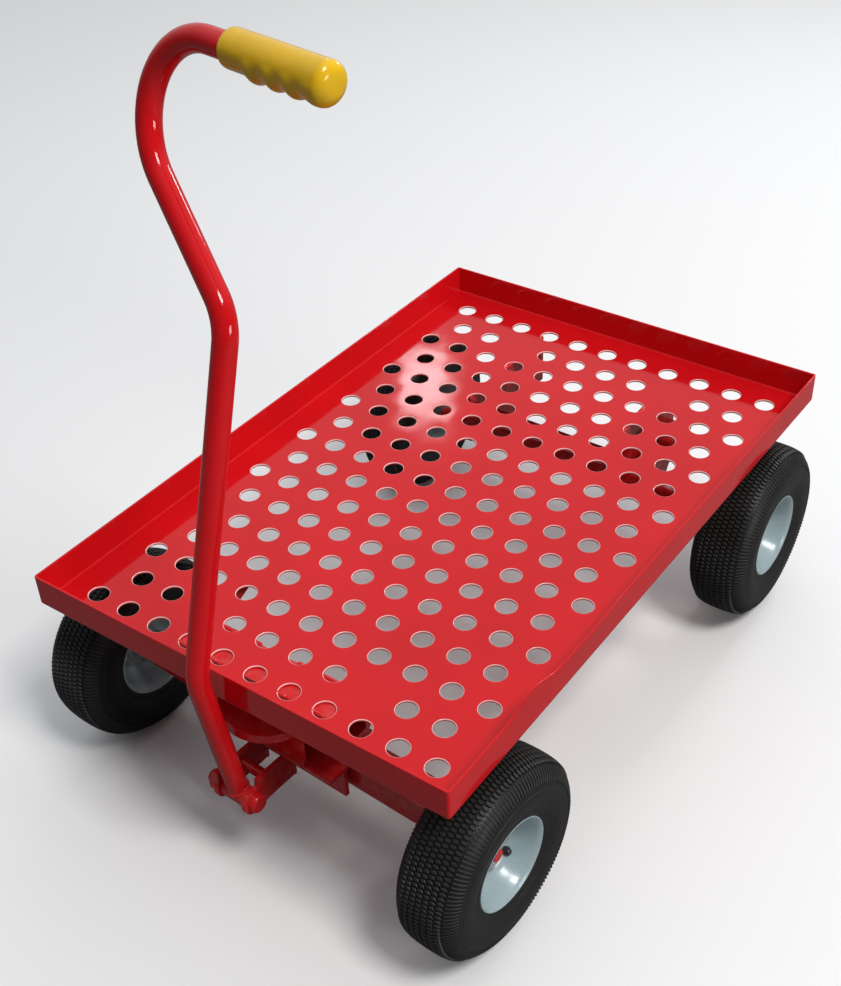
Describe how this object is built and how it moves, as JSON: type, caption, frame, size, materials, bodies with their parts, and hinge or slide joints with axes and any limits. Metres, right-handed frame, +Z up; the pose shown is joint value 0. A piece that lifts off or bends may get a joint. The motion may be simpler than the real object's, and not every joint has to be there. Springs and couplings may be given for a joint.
{
  "type": "wagon",
  "caption": "Low garden wagon: red perforated steel tray with turned-up edges on pneumatic wheels, with a steered front truck and a hinged hooked pull handle with a soft grip",
  "frame": {"origin": "on the ground, under the middle of the bounding box at rest", "axes": "+Z up out of the load surface, the handle end faces -Y, +X is the wagon's right side; Y is the longest side of the tray"},
  "size_m": [0.6717, 0.9566, 0.9787],
  "materials": {
    "red_paint": "glossy red powder coat on steel",
    "rim_paint": "satin pale grey paint on pressed steel",
    "zinc_steel": "zinc-plated steel",
    "tyre": "black moulded tyre rubber",
    "valve_rubber": "black rubber",
    "grip_vinyl": "glossy yellow dipped vinyl"
  },
  "bodies": {
    "chassis": {"bolster_gusset_left": "red_paint", "bolster_gusset_right": "red_paint", "front_bolster": "red_paint", "kingpin": "zinc_steel", "kingpin_nut": "zinc_steel", "lip_front": "red_paint", "lip_left": "red_paint", "lip_rear": "red_paint", "lip_right": "red_paint", "rear_axle": "red_paint", "rear_axle_keepers": "zinc_steel", "rear_axle_sleeves": "red_paint", "rear_cross": "red_paint", "rear_hanger_left": "red_paint", "rear_hanger_right": "red_paint", "rear_rail_left": "red_paint", "rear_rail_right": "red_paint", "tray_floor": "red_paint", "turntable_upper": "red_paint"},
    "front_truck": {"axle_beam": "red_paint", "front_axle": "red_paint", "front_axle_collars": "red_paint", "front_axle_keepers": "zinc_steel", "pivot_bolt": "red_paint", "pivot_nut": "red_paint", "tongue_bar_left": "red_paint", "tongue_bar_right": "red_paint", "tongue_stop": "red_paint", "truck_apron": "red_paint", "truck_plate": "red_paint", "truck_riser": "red_paint", "turntable_lower": "red_paint"},
    "handle": {"handle_tube": "red_paint", "pivot_sleeve": "red_paint", "grip": "grip_vinyl"},
    "wheel_front_left": {"front_left_hub": "zinc_steel", "front_left_rim_bolts": "zinc_steel", "front_left_rim_inner": "rim_paint", "front_left_rim_outer": "rim_paint", "front_left_tyre": "tyre", "front_left_valve": "valve_rubber"},
    "wheel_front_right": {"front_right_hub": "zinc_steel", "front_right_rim_bolts": "zinc_steel", "front_right_rim_inner": "rim_paint", "front_right_rim_outer": "rim_paint", "front_right_tyre": "tyre", "front_right_valve": "valve_rubber"},
    "wheel_rear_left": {"rear_left_hub": "zinc_steel", "rear_left_rim_bolts": "zinc_steel", "rear_left_rim_inner": "rim_paint", "rear_left_rim_outer": "rim_paint", "rear_left_tyre": "tyre", "rear_left_valve": "valve_rubber"},
    "wheel_rear_right": {"rear_right_hub": "zinc_steel", "rear_right_rim_bolts": "zinc_steel", "rear_right_rim_inner": "rim_paint", "rear_right_rim_outer": "rim_paint", "rear_right_tyre": "tyre", "rear_right_valve": "valve_rubber"}
  },
  "joints": [
    {"name": "steering", "type": "hinge", "parent": "chassis", "child": "front_truck", "pos_m": [0, -0.3634, 0.2], "axis": [0, 0, 1], "range_deg": [-20, 26]},
    {"name": "handle_tilt", "type": "hinge", "parent": "front_truck", "child": "handle", "pos_m": [-0.00361, -0.4323, 0.121], "axis": [0.9986, -0.0523, 0], "range_deg": [0, 104]},
    {"name": "spin_front_left", "type": "hinge", "parent": "front_truck", "child": "wheel_front_left", "pos_m": [-0.28577, -0.31338, 0.127], "axis": [0.9986, -0.0523, 0], "continuous": true},
    {"name": "spin_front_right", "type": "hinge", "parent": "front_truck", "child": "wheel_front_right", "pos_m": [0.28944, -0.34352, 0.127], "axis": [0.9986, -0.0523, 0], "continuous": true},
    {"name": "spin_rear_left", "type": "hinge", "parent": "chassis", "child": "wheel_rear_left", "pos_m": [-0.29, 0.348, 0.127], "axis": [1, 0, 0], "continuous": true},
    {"name": "spin_rear_right", "type": "hinge", "parent": "chassis", "child": "wheel_rear_right", "pos_m": [0.29, 0.348, 0.127], "axis": [1, 0, 0], "continuous": true}
  ]
}
